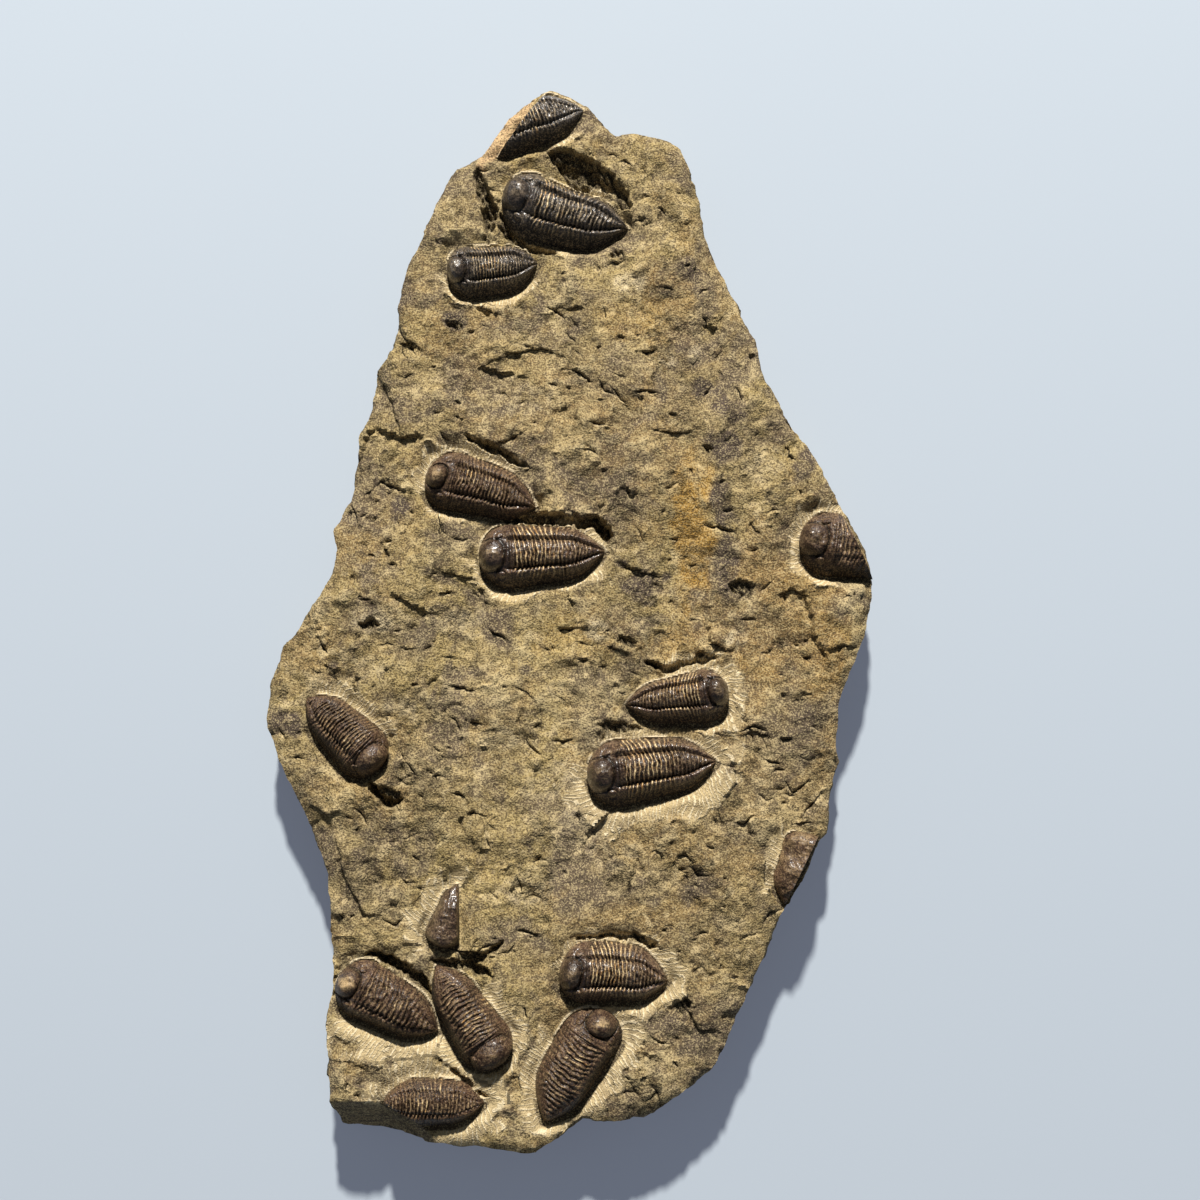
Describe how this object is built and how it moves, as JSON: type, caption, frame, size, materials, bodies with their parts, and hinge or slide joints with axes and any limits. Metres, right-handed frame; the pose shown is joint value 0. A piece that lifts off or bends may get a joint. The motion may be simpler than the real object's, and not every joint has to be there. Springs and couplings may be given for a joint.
{
  "type": "trilobite fossil slab",
  "caption": "Lozenge-shaped slab of tan sandstone lying on its flat underside, its rough face set with dark ribbed trilobite fossils, some broken off at the rim.",
  "frame": {"origin": "the middle of the flat underside, below the centre of the slab's bounding box", "axes": "+Z out of the face that carries the fossils, +Y along the slab towards its narrow, cut-off upper end, +X across it to the right seen from above"},
  "size_m": [0.2703, 0.479, 0.04],
  "materials": {
    "matrix_rock": "matte",
    "fossil_shell": "satin"
  },
  "bodies": {
    "root": {"rock_slab": "matrix_rock", "trilobite_01": "fossil_shell", "trilobite_02": "fossil_shell", "trilobite_03": "fossil_shell", "trilobite_04": "fossil_shell", "trilobite_05": "fossil_shell", "trilobite_06": "fossil_shell", "trilobite_07": "fossil_shell", "trilobite_08": "fossil_shell", "trilobite_09": "fossil_shell", "trilobite_10": "fossil_shell", "trilobite_11": "fossil_shell", "trilobite_12": "fossil_shell", "trilobite_13": "fossil_shell", "trilobite_14": "fossil_shell", "trilobite_15": "fossil_shell", "trilobite_16": "fossil_shell"}
  },
  "joints": []
}
